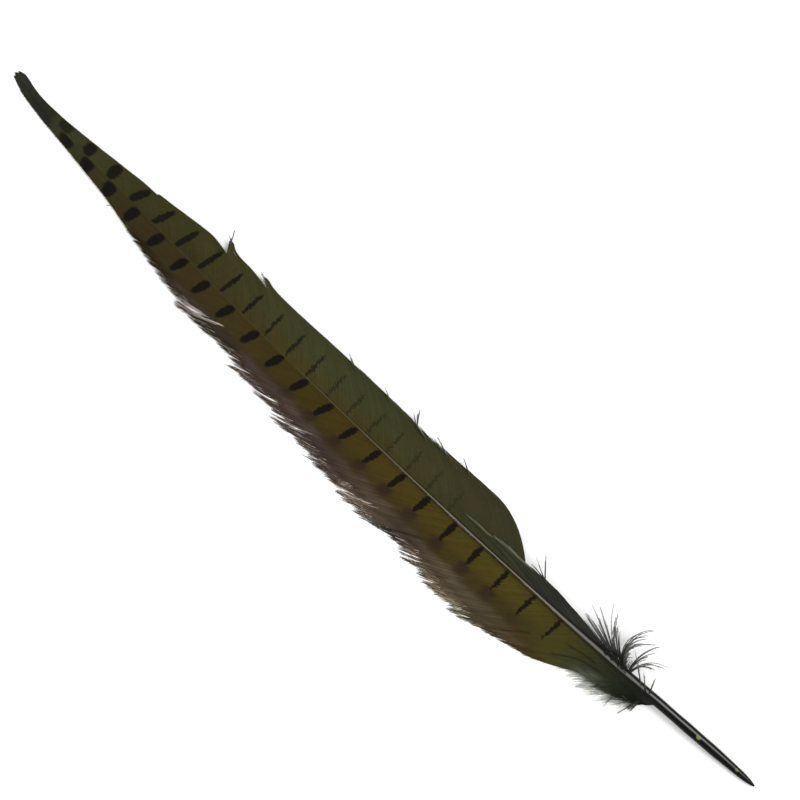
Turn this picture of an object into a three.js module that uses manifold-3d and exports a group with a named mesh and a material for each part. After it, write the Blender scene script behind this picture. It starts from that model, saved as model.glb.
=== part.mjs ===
// A pheasant tail feather, lying on its underside with the barred upper side showing.
// It grew as one piece, so it is one solid: a tapering shaft, a narrow smooth vane on one side,
// a broad fringed vane on the other, a strip of barbs pressed along the shaft and loose barbs at the base.
// Millimetres. s runs along the feather's chord from the tip (0) to the end of the quill,
// y runs across it, positive on the narrow vane's side, and z is up from the surface it lies on.
import * as THREE from "three";
import { mergeVertices } from "three/addons/utils/BufferGeometryUtils.js";
import Module from "manifold-3d";

const wasm = await Module();
wasm.setup();

const featherLength = 400;
const vaneThickness = 0.5;
const skin = vaneThickness / 2;

// Profiles along the feather, each a short list of [s, value]: the shaft's bend across the chord,
// the height of its middle and its radius.
const shaftBow = [
  [0, 0], [25, -3.1], [75, -4.9], [130, -6.4], [180, -6.8], [250, -6], [320, -3.8], [360, -2], [400, 0],
];
const shaftRise = [
  [0, 0.5], [50, 2.6], [110, 5], [180, 6.8], [240, 7.2],
  [300, 6.4], [350, 4.2], [375, 2.6], [390, 1.65], [400, 1.2],
];
const shaftRadius = [
  [0, 0.3], [40, 0.45], [120, 0.6], [200, 0.8], [270, 1.05], [310, 1.5],
  [335, 1.85], [360, 1.95], [380, 1.85], [391, 1.5], [397, 1], [400, 0.45],
];
const shaftRings = 34;
const shaftSides = 12;
const ringCrowding = 1.25; // rings stand closer together towards the quill's end
const groove = { from: 60, to: 326, depthShare: 0.4, halfWidthShare: 0.1 }; // along the shaft's underside

// A vane's edge is where its barbs end: edge gives its y over the chord at each barb tip's s,
// sweep how far along the feather a barb runs from its root to its tip, and lift how high the edge is over
// the surface. bend is how sharply a barb turns forward, crown how round the vane's arch is, and flatShare
// the share of its width that lies flat along the edge.
const narrowVane = {
  side: 1,
  locks: 31,
  rows: 4,
  firstTip: 0.5,
  lastTip: 249,
  edge: [
    [0, 1], [4, 1.6], [16, 0.2], [31, 0.4], [54, 2.7], [78, 5.3], [99, 7.8], [117, 8.8],
    [144, 9.1], [171, 9.9], [195, 10.3], [218, 10], [235, 11.1], [249, 11.7],
  ],
  sweep: [[0, 2.5], [12, 8], [40, 15], [80, 21], [120, 26], [180, 29], [249, 32]],
  lift: [[0, 0], [60, 1.1], [150, 1.5], [210, 0.7], [240, 0], [249, 0]],
  bend: 2.1,
  crown: 1.8,
  flatShare: 0.06,
  notch: 0.03,
  raggedness: 0.02,
  splits: [
    { tip: 109, depth: 0.2 }, { tip: 128, depth: 0.14 }, { tip: 212, depth: 0.16 }, { tip: 221, depth: 0.1 },
  ],
};
const broadVane = {
  side: -1,
  locks: 42,
  rows: 5,
  firstTip: 0.5,
  lastTip: 347,
  edge: [
    [0, -0.8], [4, -2.7], [12, -4.7], [39, -8], [62, -11.2], [78, -14.4], [101, -19], [120, -21.6],
    [150, -24.6], [180, -27.8], [206, -30.4], [226, -31], [253, -33], [268, -32.6], [288, -28.2],
    [303, -23.9], [312, -19.4], [319, -16.6], [330, -16.4], [338, -15.5], [343, -11.6], [347, -7.2],
  ],
  sweep: [
    [0, 2.5], [12, 9], [40, 22], [80, 34], [120, 40], [170, 43], [220, 41],
    [268, 35], [303, 29], [319, 22], [338, 9], [347, 3],
  ],
  lift: [[0, 0], [40, 0.6], [80, 0.5], [130, 0], [300, 0], [325, 0.9], [347, 1.6]],
  bend: 1.35,
  crown: 1.7,
  flatShare: 0.15,
  notch: 0.07,
  raggedness: 0.05,
  splits: [
    { tip: 105, depth: 0.24 }, { tip: 137, depth: 0.18 }, { tip: 162, depth: 0.16 },
    { tip: 203, depth: 0.15 }, { tip: 318, depth: 0.12 },
  ],
};
// Long barbs at the base of the narrow vane that lie forward along the shaft, a little above that vane.
const pressedStrip = {
  side: 1,
  locks: 6,
  rows: 2,
  firstTip: 244,
  lastTip: 321,
  edge: [[244, -2.4], [258, -0.4], [275, 1.3], [288, 1.7], [303, 0.6], [312, -0.8], [321, -2.6]],
  sweep: [[244, 42], [288, 26], [321, 8]],
  bend: 1.5,
  notch: 0.06,
  above: 0.35,
  sag: 0.014,
  thickness: 0.45,
};
// Each lock is a low pleat that grows over its first share and dies out where the vane nears the surface.
const pleat = { ridge: 0.16, valley: -0.1, grownBy: 0.33, flatBelow: 0.5 };

// Loose barbs: root [s, y], heading in degrees from straight across the feather (positive towards the tip),
// curl in degrees over their reach (positive towards the tip), and the height of the tip over the surface.
const looseBarbs = [
  { root: [112, 5.8], side: 1, reach: 12, heading: 42, curl: -24, tipHeight: 4.5, width: 1.5 },
  { root: [131, 7.2], side: 1, reach: 9, heading: 64, curl: 4, tipHeight: 3.5, width: 1.1 },
  { root: [176.5, 8.4], side: 1, reach: 7.5, heading: 64, curl: 4, tipHeight: 3.4, width: 0.7 },
  { root: [195, 8.8], side: 1, reach: 6.5, heading: 62, curl: 4, tipHeight: 3.2, width: 0.7 },
  { root: [209.5, 8.4], side: 1, reach: 8.2, heading: 42, curl: -10, tipHeight: 3, width: 0.9 },
  { root: [215.5, 7.8], side: 1, reach: 8, heading: 66, curl: 4, tipHeight: 2.8, width: 0.8 },
  { root: [225.5, 9], side: 1, reach: 9, heading: 68, curl: 4, tipHeight: 2.6, width: 0.9 },
  { root: [236.5, 9.6], side: 1, reach: 7.5, heading: 58, curl: 4, tipHeight: 2.4, width: 0.7 },
  { root: [288, 0.4], side: 1, reach: 14.4, heading: 46, curl: -4, tipHeight: 5.5, width: 0.8 },
  { root: [287, 0.6], side: 1, reach: 11.8, heading: 60, curl: 8, tipHeight: 4.8, width: 0.7 },
  { root: [321.8, -3.2], side: 1, reach: 13.4, heading: 64, curl: 20, tipHeight: 4.5, width: 1 },
  { root: [325, -2.6], side: 1, reach: 18.6, heading: 68, curl: 14, tipHeight: 5.2, width: 1 },
  { root: [325.5, -2.6], side: 1, reach: 22.6, heading: 55, curl: 16, tipHeight: 5.8, width: 1 },
  { root: [326.4, -2.6], side: 1, reach: 23.7, heading: 54, curl: -16, tipHeight: 6.5, width: 1 },
  { root: [331, -2.2], side: 1, reach: 16.5, heading: 64, curl: -26, tipHeight: 5.4, width: 1 },
  { root: [329.8, -2.3], side: 1, reach: 18.5, heading: 28, curl: -84, tipHeight: 6.6, width: 1 },
  { root: [330.5, -2.3], side: 1, reach: 20, heading: 52, curl: -88, tipHeight: 7, width: 1 },
  { root: [332.6, -2.2], side: 1, reach: 15.8, heading: 2, curl: -28, tipHeight: 6, width: 0.9 },
  { root: [333, -2.2], side: 1, reach: 17.4, heading: -6, curl: -76, tipHeight: 5, width: 0.9 },
  { root: [340.5, -1.8], side: 1, reach: 13.5, heading: 62, curl: -8, tipHeight: 6, width: 0.8 },
  { root: [344.5, -1.6], side: 1, reach: 7.6, heading: 18, curl: 10, tipHeight: 5.5, width: 0.8 },
  { root: [333, -12], side: -1, reach: 14, heading: 58, curl: 8, tipHeight: 1.2, width: 1 },
  { root: [330, -13], side: -1, reach: 12, heading: 36, curl: 4, tipHeight: 1, width: 1 },
  { root: [339, -9], side: -1, reach: 11.5, heading: 28, curl: -26, tipHeight: 1, width: 0.9 },
  { root: [345, -5.5], side: -1, reach: 12.5, heading: 20, curl: -8, tipHeight: 0.8, width: 0.9 },
  { root: [346, -5], side: -1, reach: 9.5, heading: 12, curl: 0, tipHeight: 1.2, width: 0.8 },
];
const looseShape = { steps: 6, thickness: 0.8, tipWidthShare: 0.3, tipThicknessShare: 0.4, climb: 1.5 };
const stripFrom = 280; // past this s, a loose barb off the shaft grows from the pressed strip
const stripCarry = 0.8;

// A smooth profile through a list of [s, value].
function profile(points) {
  const track = new THREE.CubicInterpolant(points.map((p) => p[0]), points.map((p) => p[1]), 1);
  return (s) => track.evaluate(s)[0];
}

const bowAt = profile(shaftBow);
const riseAt = profile(shaftRise);
const radiusAt = profile(shaftRadius);

// The same irregular number from 0 to 1 for the same whole number, on every run.
function irregular(n) {
  return THREE.MathUtils.euclideanModulo(Math.sin(n * 12.9898 + 4.1) * 43758.5453, 1);
}

// Moves every vertex of a geometry to shape(x, y, z).
function warped(geometry, shape) {
  const position = geometry.getAttribute("position");
  for (let i = 0; i < position.count; i++) {
    const [x, y, z] = shape(position.getX(i), position.getY(i), position.getZ(i));
    position.setXYZ(i, x, y, z);
  }
  return geometry;
}

// A closed geometry as a solid with its faces pointing out.
function solidOf(geometry) {
  const bare = geometry.clone();
  bare.deleteAttribute("normal");
  bare.deleteAttribute("uv");
  const merged = mergeVertices(bare, 1e-4);
  const mesh = new wasm.Mesh({
    numProp: 3,
    vertProperties: new Float32Array(merged.getAttribute("position").array),
    triVerts: new Uint32Array(merged.index.array),
  });
  const solid = new wasm.Manifold(mesh);
  if (solid.volume() > 0) return solid;
  for (let i = 0; i < mesh.triVerts.length; i += 3) {
    [mesh.triVerts[i + 1], mesh.triVerts[i + 2]] = [mesh.triVerts[i + 2], mesh.triVerts[i + 1]];
  }
  return new wasm.Manifold(mesh);
}

function geometryOf(solid) {
  const mesh = solid.getMesh();
  const vertices = new Float32Array(mesh.numVert * 3);
  for (let i = 0; i < mesh.numVert; i++) {
    vertices.set(mesh.vertProperties.subarray(i * mesh.numProp, i * mesh.numProp + 3), i * 3);
  }
  const geometry = new THREE.BufferGeometry();
  geometry.setAttribute("position", new THREE.BufferAttribute(vertices, 3));
  geometry.setIndex(new THREE.BufferAttribute(mesh.triVerts, 1));
  geometry.computeVertexNormals();
  return geometry;
}

// The shaft: a turned profile, bent along the feather, with the groove that runs under the vanes.
function shaft() {
  const turned = [new THREE.Vector2(0, 0)];
  for (let i = 0; i <= shaftRings; i++) {
    const s = featherLength * (1 - (1 - i / shaftRings) ** ringCrowding);
    turned.push(new THREE.Vector2(radiusAt(s), s));
  }
  turned.push(new THREE.Vector2(0, featherLength + 0.01));
  return warped(new THREE.LatheGeometry(turned, shaftSides), (across, s, up) => {
    const underneath = up < 0 && Math.abs(across) < groove.halfWidthShare * radiusAt(s);
    const grooved = underneath && s > groove.from && s < groove.to;
    return [s, bowAt(s) + across, riseAt(s) + up * (grooved ? 1 - groove.depthShare : 1)];
  });
}

// A barb's place in plan, at share t from its root (0) to its tip (1): it leaves the shaft steeply and
// turns forward towards the feather's tip.
function barbPoint(vane, tipS, t) {
  const rootS = tipS + vane.sweepAt(tipS);
  const rootY = bowAt(rootS);
  const s = rootS - vane.sweepAt(tipS) * t;
  const y = rootY + (vane.edgeAt(tipS) - rootY) * (1 - Math.max(1 - t, 0) ** vane.bend);
  return [s, y];
}

// The height of a vane's middle surface: it arches from the shaft down to the edge, whose last share is flat.
function vaneHeight(vane, s, y) {
  const halfWidth = Math.max(Math.abs(vane.edgeAt(s) - bowAt(s)), 1);
  const share = Math.min(Math.abs(y - bowAt(s)) / halfWidth / (1 - vane.flatShare), 1);
  const edgeHeight = skin + vane.liftAt(s);
  return edgeHeight + (Math.max(riseAt(s), edgeHeight) - edgeHeight) * (1 - share ** vane.crown);
}

// The height of the pressed strip: it rises a little from the shaft to its tips and sags away from the shaft.
function stripHeight(s, y, t) {
  return riseAt(s) + pressedStrip.above * t - pressedStrip.sag * (y - bowAt(s)) ** 2;
}

function withProfiles(vane) {
  const liftAt = vane.lift && profile(vane.lift);
  return { ...vane, edgeAt: profile(vane.edge), sweepAt: profile(vane.sweep), liftAt };
}

// How much of its full length a barb has: a notch between two locks is shorter, and a split is deeper.
function barbShare(vane, column, tipS, lockWidth) {
  const isNotch = column % 2 === 1;
  if (!isNotch) return 1 + vane.raggedness * (irregular(column) - 0.5);
  const split = vane.splits.find((each) => Math.abs(each.tip - tipS) <= lockWidth / 2);
  return 1 - (split ? split.depth : vane.notch * (0.5 + irregular(column)));
}

// A sheet of locks, two columns of the grid to each lock: place(column, tipS, along) gives the middle
// surface's point, and the sheet stands half its thickness to each side.
function lockSheet(vane, thickness, place) {
  const columns = vane.locks * 2;
  return warped(new THREE.BoxGeometry(1, 1, 1, columns, vane.rows, 1), (across, along, face) => {
    const column = Math.round((across + 0.5) * columns);
    const tipS = vane.firstTip + (column / columns) * (vane.lastTip - vane.firstTip);
    const [s, y, z] = place(column, tipS, along + 0.5);
    return [s, y, z + (Math.sign(face) * thickness) / 2];
  });
}

// A vane: a sheet of locks, with a low pleat over each.
function vaneSheet(vane) {
  const lockWidth = (vane.lastTip - vane.firstTip) / vane.locks;
  return lockSheet(vane, vaneThickness, (column, tipS, along) => {
    const t = along * barbShare(vane, column, tipS, lockWidth);
    const [s, y] = barbPoint(vane, tipS, t);
    const height = vaneHeight(vane, s, y);
    const grown = Math.min(t / pleat.grownBy, 1) * Math.min((height - skin) / pleat.flatBelow, 1);
    const fold = column % 2 === 0 ? pleat.ridge : pleat.valley;
    return [s, y, Math.max(height + fold * grown, skin)];
  });
}

// The strip of barbs pressed along the shaft: a sheet of locks held just above the narrow vane.
function stripSheet(strip) {
  return lockSheet(strip, strip.thickness, (column, tipS, along) => {
    const t = along * (column % 2 ? 1 - strip.notch : 1);
    const [s, y] = barbPoint(strip, tipS, t);
    return [s, y, stripHeight(s, y, t)];
  });
}

// A loose barb starts in the middle of whatever carries it: the shaft, the pressed strip or a vane.
function looseRootHeight(barb) {
  const [s, y] = barb.root;
  if (Math.abs(y - bowAt(s)) < radiusAt(s)) return riseAt(s);
  if (barb.side < 0) return vaneHeight(broad, s, y);
  return s < stripFrom ? vaneHeight(narrow, s, y) : stripHeight(s, y, stripCarry);
}

// A loose barb: a thin tapering prism along a curl, from inside the vane or shaft to its free tip.
function looseBarb(barb) {
  const { steps, thickness, tipWidthShare, tipThicknessShare, climb } = looseShape;
  const turnedBy = (share) => THREE.MathUtils.degToRad(barb.heading + barb.curl * share);
  const path = [barb.root];
  for (let i = 0; i < steps; i++) {
    const angle = turnedBy((i + 0.5) / steps);
    const [s, y] = path[i];
    const stride = barb.reach / steps;
    path.push([s - Math.sin(angle) * stride, y + barb.side * Math.cos(angle) * stride]);
  }
  const rootHeight = looseRootHeight(barb);
  return warped(new THREE.BoxGeometry(1, 1, 1, steps, 1, 1), (along, across, up) => {
    const i = Math.round((along + 0.5) * steps);
    const share = i / steps;
    const angle = turnedBy(share);
    const aside = (Math.sign(across) * barb.width * (1 - (1 - tipWidthShare) * share)) / 2;
    const [s, y] = path[i];
    const middle = Math.max(rootHeight + (barb.tipHeight - rootHeight) * share ** climb, thickness / 2);
    const over = (Math.sign(up) * thickness * (1 - (1 - tipThicknessShare) * share)) / 2;
    return [s + Math.cos(angle) * aside, y + barb.side * Math.sin(angle) * aside, middle + over];
  });
}

const narrow = withProfiles(narrowVane);
const broad = withProfiles(broadVane);
const strip = withProfiles(pressedStrip);

let feather = solidOf(shaft());
for (const sheet of [vaneSheet(narrow), vaneSheet(broad), stripSheet(strip), ...looseBarbs.map(looseBarb)]) {
  feather = feather.add(solidOf(sheet));
}

const keratin = new THREE.MeshStandardMaterial({ color: 0x4a4220, roughness: 0.6, metalness: 0 });
const mesh = new THREE.Mesh(geometryOf(feather), keratin);
mesh.name = "feather";

// The origin is under the middle of the feather, on the surface that it lies on.
const extent = new THREE.Box3().setFromObject(mesh);
const middle = extent.getCenter(new THREE.Vector3());
mesh.position.set(-middle.x, -middle.y, -extent.min.z);

const group = new THREE.Group();
group.add(mesh);

export default group;
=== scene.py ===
# A pheasant tail feather, lying on its underside with the barred upper side showing.
# It is drawn in the feather's own plan, in millimetres: s runs along its chord from the tip (0) to the end
# of the quill, y runs across it, positive on the narrow vane's side, and z is up. placed() turns that into
# the frame's metres.
import math
import bpy
import numpy as np
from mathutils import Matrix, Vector


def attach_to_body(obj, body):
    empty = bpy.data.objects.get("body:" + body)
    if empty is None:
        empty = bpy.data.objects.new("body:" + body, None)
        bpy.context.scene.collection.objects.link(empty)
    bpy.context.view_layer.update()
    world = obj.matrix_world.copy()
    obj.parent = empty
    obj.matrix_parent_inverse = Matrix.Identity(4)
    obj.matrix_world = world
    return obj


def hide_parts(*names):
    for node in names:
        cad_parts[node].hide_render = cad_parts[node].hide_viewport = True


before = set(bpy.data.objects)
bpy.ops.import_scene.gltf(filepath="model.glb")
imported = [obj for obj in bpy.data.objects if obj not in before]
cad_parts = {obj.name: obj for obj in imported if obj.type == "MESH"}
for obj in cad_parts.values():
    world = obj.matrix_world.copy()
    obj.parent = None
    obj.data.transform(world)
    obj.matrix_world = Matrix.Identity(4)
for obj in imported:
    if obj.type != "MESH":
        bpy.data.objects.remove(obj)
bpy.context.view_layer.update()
mm = 0.001


def chordOrigin():
    # The chord starts at the tip's x, level with the end of the quill, on the surface the feather lies on.
    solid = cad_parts["feather"].data
    spots = np.empty(len(solid.vertices) * 3)
    solid.vertices.foreach_get("co", spots)
    spots = spots.reshape(-1, 3)
    return np.array([spots[:, 0].min(), spots[spots[:, 0].argmax(), 1], spots[:, 2].min()])


origin = chordOrigin()
print("frame loaded, chord starts at", origin.round(4))


def stacked(*values):
    # The values beside each other on a new last axis, each spread to their common shape.
    return np.stack(np.broadcast_arrays(*values), axis=-1)


def unit(vectors):
    # The vectors divided by their length, which a tiny number keeps over zero.
    return vectors / (np.linalg.norm(vectors, axis=-1, keepdims=True) + 1e-12)


def placed(s, y, z):
    # The plan's millimetres as the frame's metres, from the chord's origin.
    return origin + mm * stacked(s, y, z)


def smooth(points):
    # A smooth curve through the points: a cubic between each two, whose slope at a point is the mean of the
    # slopes to its neighbours. It holds its end values outside.
    known, value = np.array(points, dtype=float).T
    rise = np.diff(value) / np.diff(known)
    slope = np.concatenate((rise[:1], (rise[1:] + rise[:-1]) / 2, rise[-1:]))

    def at(s):
        s = np.clip(s, known[0], known[-1])
        k = np.clip(np.searchsorted(known, s) - 1, 0, len(known) - 2)
        width = known[k + 1] - known[k]
        p = (s - known[k]) / width
        start = (1 + 2 * p) * (1 - p) ** 2 * value[k] + p * (1 - p) ** 2 * width * slope[k]
        return start + p * p * (3 - 2 * p) * value[k + 1] + p * p * (p - 1) * width * slope[k + 1]

    return at


def ease(x):
    # 3 x^2 - 2 x^3, so smoothly from 0 at 0 to 1 at 1
    x = np.clip(x, 0, 1)
    return x * x * (3 - 2 * x)


shaft = {
    "length": 400,
    "bow": [(0, 0), (25, -3.1), (75, -4.9), (130, -6.4), (180, -6.8), (250, -6), (320, -3.8), (360, -2),
            (400, 0)],
    "rise": [(0, 0.5), (50, 2.6), (110, 5), (180, 6.8), (240, 7.2), (300, 6.4), (350, 4.2), (375, 2.6),
             (390, 1.65), (400, 1.2)],
    "radius": [(0, 0.2), (40, 0.4), (120, 0.58), (200, 0.78), (270, 1.05), (310, 1.5), (335, 1.95),
               (360, 2.05), (380, 1.95), (391, 1.55), (397, 1.05), (400, 0.42)],
    "rings": 420,
    "sides": 40,
    "grooveFrom": 60, "grooveTo": 326, "grooveDepth": 0.35, "grooveWidth": 0.5,
    "flatTop": 0.12,                    # the rachis is a little flattened above, between the vanes
}
skin = 0.25                             # the vane's middle surface stands this high where it lies flat
straightUp = np.array([0.0, 0, 1])
hairShade = [0.7, 1, 0.7]               # how far each corner of a hair counts as upper side
bladeShade = [0.5, 1, 0.5, 0]           # the same for a barb's blade, dull on its lowest corner
bowAt, riseAt, radiusAt = (smooth(shaft[name]) for name in ("bow", "rise", "radius"))

narrowVane = {
    "name": "narrow_vane_barbs", "side": 1, "count": 620, "steps": 20, "seed": 11,
    "firstTip": 0.5, "lastTip": 249,
    "edge": [(0, 1.1), (3, 2), (7.8, 0.95), (11.7, 0.3), (16, 0), (24, 0.1), (31, 0.5), (54, 2.7),
             (78, 5.3), (99, 7.8), (117, 8.8), (144, 9.1), (171, 9.9), (195, 10.3), (218, 10), (235, 11.1),
             (249, 11.7)],
    "sweep": [(0, 2.5), (12, 8), (40, 15), (80, 21), (120, 26), (180, 29), (249, 32)],
    "lift": [(0, 0), (60, 1.1), (150, 1.5), (210, 0.7), (240, 0), (249, 0)],
    "bend": 2.1, "crown": 1.8, "flatShare": 0.06, "straightFrom": 0.97,
    "fringe": [(0, 0.3), (14, 0.2), (60, 0.05), (150, 0.12), (195, 0.2), (205, 0.45), (225, 0.45),
               (235, 0.2), (249, 0.05)],
    "freeFrom": 0.88, "clump": (5, 14), "pull": 0.4, "stray": 0.45, "ragged": 0.03, "hair": 0.16, "web": 1,
    # a slit in the edge: the s of its end, how much of the barbs it takes, how far the barbs on its quill
    # side lean out, how far those on its tip side lean in, and how soon that fades along the edge. Where web
    # is 1, the barbs widen to keep the vane closed as they lean apart.
    "slits": [(105.9, 0.15, 4.5, 0, 3), (126, 0.17, 1.9, 0, 2.8), (176, 0.2, 0.15, 0.1, 5),
              (195, 0.2, 0.15, 0.1, 5), (208, 0.3, 0.15, 0.2, 6), (214, 0.35, 0.2, 0.2, 6),
              (221, 0.4, 0.3, 0.2, 6), (233, 0.2, 0.15, 0.1, 5)],
    # a step in the edge: its s, its depth and how long the edge takes to fall to it
    "notches": [(72.6, 0.6, 8), (106.1, 2.6, 8), (126.2, 1.8, 9)],
    # a tooth in the edge: the s of its point, how far it stands out, its length
    "teeth": [(106.4, 1.2, 2.2), (126.6, 2.6, 2.5), (178, 0.5, 5), (197, 0.5, 5), (215, 0.6, 3),
              (222, 0.8, 5)],
}
broadVane = {
    "name": "broad_vane_barbs", "side": -1, "count": 800, "steps": 27, "seed": 23,
    "firstTip": 0.5, "lastTip": 347,
    "edge": [(0, -1), (2, -2.1), (4, -2.95), (12, -4.9), (39, -8.15), (62, -11.3), (78, -14.7),
             (101, -19.1), (120, -21.1), (131, -20.8), (142, -23.1), (160, -24.6), (180, -27.1),
             (206, -29.5), (217, -30.3), (228, -28.8), (237, -29), (247, -30.9), (256, -31.8), (265, -32),
             (272, -32.4), (280, -30.3), (288, -28.1), (303, -24.4), (312, -19.4), (319, -15.9),
             (330, -14.8), (335, -13.4), (339, -11.4), (343, -9.8), (347, -7.2)],
    "sweep": [(0, 2.5), (12, 9), (40, 22), (80, 34), (120, 40), (170, 43), (220, 41), (268, 35), (303, 29),
              (319, 22), (338, 9), (347, 3)],
    "lift": [(0, 0), (40, 0.6), (80, 0.5), (130, 0), (300, 0), (325, 0.9), (347, 1.6)],
    "bend": 1.35, "crown": 1.7, "flatShare": 0.15, "straightFrom": 0.88,
    "fringe": [(0, 0.3), (14, 0.2), (50, 0.08), (70, 0.12), (84, 0.6), (100, 1), (275, 1), (292, 0.5),
               (304, 0.14), (316, 0.3), (326, 0.9), (347, 1)],
    "freeFrom": 0.79, "clump": (4, 11), "pull": 0.34, "stray": 0.6, "ragged": 0.04, "hair": 0.16, "web": 0,
    "slits": [(106.5, 0.57, 1.2, 0.45, 7), (140, 0.3, 0.5, 0.4, 6), (153.5, 0.35, 0.7, 0.4, 6),
              (168, 0.42, 0.6, 0.25, 6), (186, 0.2, 0.5, 0.3, 5), (203, 0.25, 0.4, 0.4, 5),
              (214, 0.3, 0.3, 0.25, 6), (238.5, 0.25, 0.3, 0.2, 6), (252, 0.2, 0.25, 0.15, 5),
              (266, 0.22, 0.4, 0.3, 5.5), (282, 0.35, 0.25, 0.15, 7), (318, 0.3, 0.3, 0.3, 6)],
    "teeth": [(79, 1, 4), (88, 1, 4), (94, 1, 5), (107, 1.6, 10), (141, 1.5, 8), (154, 1.2, 6),
              (169, 2.4, 10), (187, 1.2, 8), (204, 1.5, 8), (215, 1.5, 7), (239, 1.5, 8), (253, 1.5, 7),
              (267, 1.5, 5)],
}
pressedStrip = {
    "name": "pressed_strip_barbs", "side": 1, "count": 74, "steps": 22, "seed": 5,
    "firstTip": 244, "lastTip": 321,
    "edge": [(244, -1.6), (249, -1), (257, -0.8), (262, 0.5), (275, 0.9), (288, 1.7), (303, 0.6),
             (312, -0.8), (321, -2.6)],
    "sweep": [(244, 42), (288, 26), (321, 8)],
    "bend": 1.5, "straightFrom": 0.95, "above": 0.35, "sag": 0.014,
    "fringe": [(244, 0.5), (280, 0.35), (295, 0.8), (321, 1)],
    "freeFrom": 0.7, "clump": (2, 5), "pull": 0.3, "stray": 0.4, "ragged": 0.06, "hair": 0.17, "web": 0,
    "slits": [], "teeth": [],
}
blade = {
    "overlap": 1.5,                     # each barb is this many times as wide as its distance to the next
    "leastWidth": 0.3,
    "ridge": 0.075, "keel": 0.16,       # its height over and under the vane's middle surface
    "tilt": 0.05,                       # it lies tilted, one edge over the next barb
    "rootRaise": 0.85,                  # share of the shaft's radius that the roots stand above its middle
    "ripple": 0.16, "rippleLength": 31,
}


def strandMesh(name, path, halfWidth, halfHeight, section, up, plan, strand, upper, bands=6):
    # Joined closed strands. A point is the path's point, plus the section's first number times the half
    # width along the side of the strand, plus its second times the height along the surface's normal.
    # path is a (strand, step, 3) array, up is one like it or a single direction, and section is a short list
    # of corners. For barbs, plan holds s, the distance out from the shaft's middle line and the s of the
    # root, and strand holds a random tone, the share of the way along and how free of the web the barb is.
    section = np.asarray(section, dtype=float)
    strands, steps = path.shape[:2]
    corners = len(section)
    along = unit(np.gradient(path, axis=1))
    sideways = unit(np.cross(along, up))
    normal = np.cross(sideways, along)
    spots = (path[:, :, None]
             + (sideways * halfWidth[..., None])[:, :, None] * section[:, 0, None]
             + (normal * halfHeight[..., None])[:, :, None] * section[:, 1, None])
    n = np.arange(strands)[:, None, None]
    j = np.arange(steps - 1)[None, :, None]
    k = np.arange(corners)[None, None, :]
    following = (k + 1) % corners
    base = n * steps * corners
    here, beyond = base + j * corners, base + (j + 1) * corners
    quads = stacked(here + k, beyond + k, beyond + following, here + following).reshape(-1, 4)
    ring = np.arange(corners)
    firstCaps = base[:, 0] + ring
    lastCaps = base[:, 0] + (steps - 1) * corners + ring[::-1]
    caps = np.concatenate((firstCaps, lastCaps))
    mesh = bpy.data.meshes.new(name)
    mesh.vertices.add(strands * steps * corners)
    mesh.vertices.foreach_set("co", placed(*np.moveaxis(spots, -1, 0)).ravel())
    links = np.concatenate((quads.ravel(), caps.ravel()))
    starts = np.concatenate((np.arange(len(quads)) * 4, quads.size + np.arange(len(caps)) * corners))
    mesh.loops.add(len(links))
    mesh.polygons.add(len(starts))
    mesh.polygons.foreach_set("loop_start", starts)
    mesh.polygons.foreach_set("vertices", links)
    mesh.update(calc_edges=True)
    mesh.shade_smooth()
    # The map for textures gives each face along a strand a narrow column, in a few bands over each other.
    perBand = -(-strands // bands)
    left = ((n % perBand) * corners + k + 0.08) / (perBand * corners)
    right = left + 0.84 / (perBand * corners)
    low = (n // perBand + 0.03 + 0.94 * j / (steps - 1)) / bands
    high = (n // perBand + 0.03 + 0.94 * (j + 1) / (steps - 1)) / bands
    quadMap = np.stack((stacked(left, low), stacked(left, high),
                        stacked(right, high), stacked(right, low)), axis=-2).reshape(-1, 2)
    angle = 2 * math.pi * ring / corners
    dot = stacked(0.5 + 0.3 * np.cos(angle), 0.5 + 0.3 * np.sin(angle))
    column = np.arange(strands)
    corner = stacked(column % perBand / perBand, column // perBand / bands)
    size = np.array([1 / perBand, 0.025 / bands])
    atStart = corner[:, None] + dot * size
    atEnd = atStart[:, ::-1] + [0, 0.975 / bands]
    layer = mesh.uv_layers.new(name="OFBake")
    spread = np.concatenate((quadMap, atStart.reshape(-1, 2), atEnd.reshape(-1, 2)))
    layer.data.foreach_set("uv", spread.ravel())
    for title, values in (("plan", plan), ("strand", strand)):
        held = np.repeat(np.broadcast_to(values, (strands, steps, 3)).reshape(-1, 3), corners, axis=0)
        attach(mesh, title, held)
    attach(mesh, "upper", np.tile(upper, strands * steps))
    return finished(name, mesh)


def hairMesh(name, path, halfWidth, plan, strand, peak=0.8, bands=6):
    # Hairs with three sides: two low corners and a peak over their middle.
    section = [(1, -0.5), (0, peak), (-1, -0.5)]
    return strandMesh(name, path, halfWidth, halfWidth, section, straightUp, plan, strand, hairShade, bands)


def attach(mesh, title, values):
    # A number or a vector for each vertex, which the materials read by its title.
    kind, field = ("FLOAT", "value") if values.ndim == 1 else ("FLOAT_VECTOR", "vector")
    attribute = mesh.attributes.new(title, kind, "POINT")
    attribute.data.foreach_set(field, values.astype(np.float32).ravel())


def finished(name, mesh):
    # The mesh as a piece of the feather, on its body and in place of its solid.
    mesh.calc_loop_triangles()
    print(name, "has", len(mesh.loop_triangles), "triangles")
    piece = bpy.data.objects.new(name, mesh)
    bpy.context.scene.collection.objects.link(piece)
    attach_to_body(piece, "root")
    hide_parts("feather")
    return piece


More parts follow.
